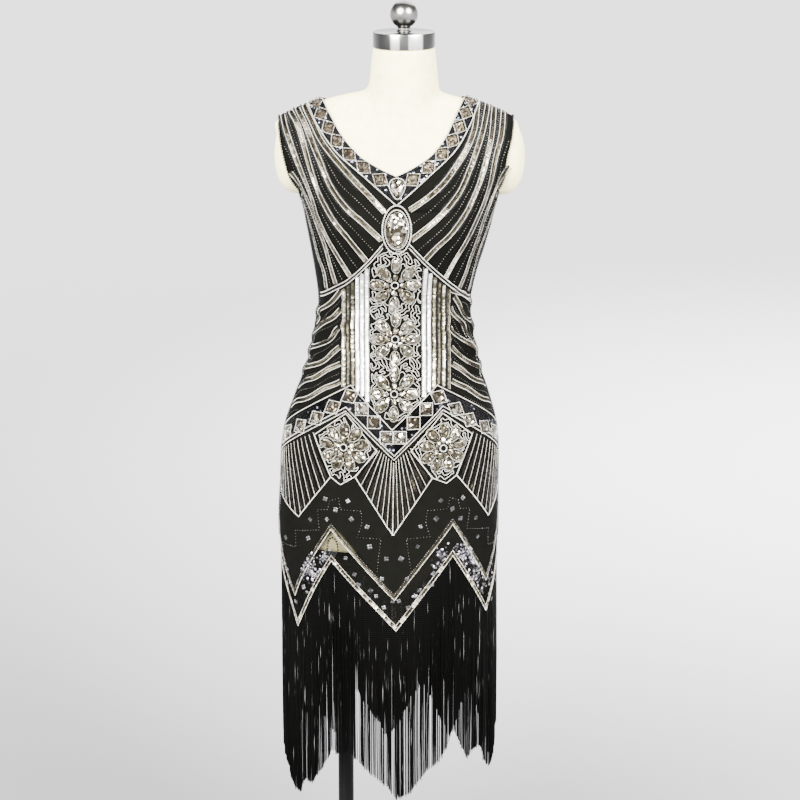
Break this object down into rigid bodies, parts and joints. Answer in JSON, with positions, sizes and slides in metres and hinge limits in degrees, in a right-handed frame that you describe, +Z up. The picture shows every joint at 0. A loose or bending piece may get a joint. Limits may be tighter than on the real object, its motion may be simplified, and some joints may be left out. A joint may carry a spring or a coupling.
{
  "type": "flapper dress on dress form",
  "caption": "Sleeveless V-neck beaded flapper dress with zigzag fringed hem, worn by a limbless dress form on a round floor stand.",
  "frame": {"origin": "centre of the base plate's underside, on the floor", "axes": "+Z up, -Y towards the front of the dress, +X to the right of someone who faces the front"},
  "size_m": [0.385, 0.36, 1.5078],
  "materials": {
    "net": "black net, beaded all over",
    "lining": "matt woven",
    "fringe": "soft twisted yarn",
    "stones": "clear stones and silver beads on net",
    "sequins": "pale gold sequins on net",
    "form_cover": "ivory jersey stretched over a foam form",
    "steel": "polished and brushed",
    "black_steel": "black powder coat"
  },
  "bodies": {
    "root": {"front_panel": "net", "back_panel": "net", "lining_front": "lining", "lining_back": "lining", "fringe_front": "fringe", "fringe_back": "fringe", "neck_trim_front": "stones", "neck_trim_back": "stones", "hip_band_front": "stones", "hip_band_back": "stones", "sheer_band_front": "sequins", "sheer_band_back": "sequins", "hem_band_front": "sequins", "hem_band_back": "sequins", "flower_upper": "stones", "flower_middle": "stones", "flower_lower": "stones", "flower_left": "stones", "flower_right": "stones", "neck_jewel": "stones", "bust_jewel": "stones", "torso": "form_cover", "neck_cap": "steel", "finial": "steel", "base_plate": "black_steel", "base_hub": "steel", "pole": "black_steel", "pole_collar": "steel"}
  },
  "joints": []
}
